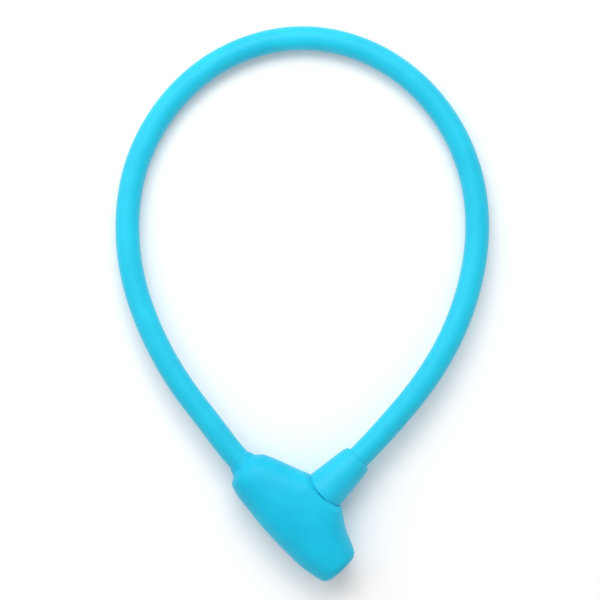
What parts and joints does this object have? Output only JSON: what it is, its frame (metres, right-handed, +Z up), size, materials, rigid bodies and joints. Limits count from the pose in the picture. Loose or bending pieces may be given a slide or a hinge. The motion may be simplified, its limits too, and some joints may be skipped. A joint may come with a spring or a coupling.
{
  "type": "cable lock",
  "caption": "Key-operated bicycle cable lock with a soft skin, locked into a closed loop: one cable end is fixed in the lock head and the other plugs into its side.",
  "frame": {"origin": "middle of the overall box in plan, on the resting plane", "axes": "+Z up out of the flat loop, +Y from the lock head towards the top of the loop, +X to the side the free end leaves the head"},
  "size_m": [0.1872, 0.2776, 0.0266],
  "materials": {
    "blue_silicone": "matte sky-blue silicone, soft sheen",
    "blue_silicone_sheath": "matte sky-blue silicone, soft sheen",
    "blue_silicone_boot": "matte sky-blue silicone, soft sheen",
    "housing": "moulded glass-filled nylon",
    "bush": "natural acetal",
    "zinc": "die-cast, satin plated",
    "plug_brass": "turned, satin",
    "wafer_brass": "stamped, tumbled",
    "bolt_steel": "turned, satin nickel plated",
    "hardened_steel": "hardened, lightly oiled",
    "spring_steel": "bright spring steel",
    "screws": "zinc plated",
    "cable_steel": "galvanised stranded wire",
    "seal_rubber": "black nitrile rubber"
  },
  "bodies": {
    "lock_head": {"head_skin": "blue_silicone", "housing_upper": "housing", "housing_lower": "housing", "housing_screws": "screws", "cylinder_barrel": "zinc", "barrel_roll_pin": "spring_steel", "port_bush": "bush", "latch_spring": "spring_steel", "fixed_end_ferrule": "bolt_steel", "ferrule_anchor_pin": "hardened_steel", "cable_sheath_fixed_half": "blue_silicone_sheath", "steel_cable_fixed_half": "cable_steel"},
    "free_end": {"locking_bolt": "bolt_steel", "bolt_seal_ring": "seal_rubber", "bolt_cross_pin": "hardened_steel", "bolt_boot": "blue_silicone_boot", "cable_sheath_free_half": "blue_silicone_sheath", "steel_cable_free_half": "cable_steel"},
    "plug": {"key_plug": "plug_brass", "anti_drill_pins": "hardened_steel", "plug_cam": "zinc", "plug_retaining_clip": "spring_steel", "shutter_pin": "hardened_steel", "wafer_springs": "spring_steel", "shutter_spring": "spring_steel"},
    "latch": {"latch_plate": "hardened_steel"},
    "wafers": {"wafer_tumblers": "wafer_brass"},
    "shutter": {"keyway_shutter": "spring_steel"}
  },
  "joints": [
    {"name": "bolt_pull", "type": "slide", "parent": "lock_head", "child": "free_end", "axis": [0.7193, 0.6947, 0], "range_m": [0, 0.03]},
    {"name": "key_turn", "type": "hinge", "parent": "lock_head", "child": "plug", "pos_m": [0.01285, -0.12522, 0.013], "axis": [0.6947, -0.7193, 0], "range_deg": [-90, 0]},
    {"name": "latch_slide", "type": "slide", "parent": "lock_head", "child": "latch", "axis": [0, 0, 1], "range_m": [-0.00226, 0], "deforming": ["latch_spring"]},
    {"name": "wafer_lift", "type": "slide", "parent": "plug", "child": "wafers", "axis": [0, 0, 1], "range_m": [0, 0.0008], "deforming": ["wafer_springs"]},
    {"name": "shutter_swing", "type": "hinge", "parent": "plug", "child": "shutter", "pos_m": [0.01903, -0.12946, 0.013], "axis": [0, 0, 1], "range_deg": [-85, 0]}
  ],
  "couplings": [
    {"joint": "key_turn", "follows": "latch_slide", "rad_per_m": 694.2}
  ]
}
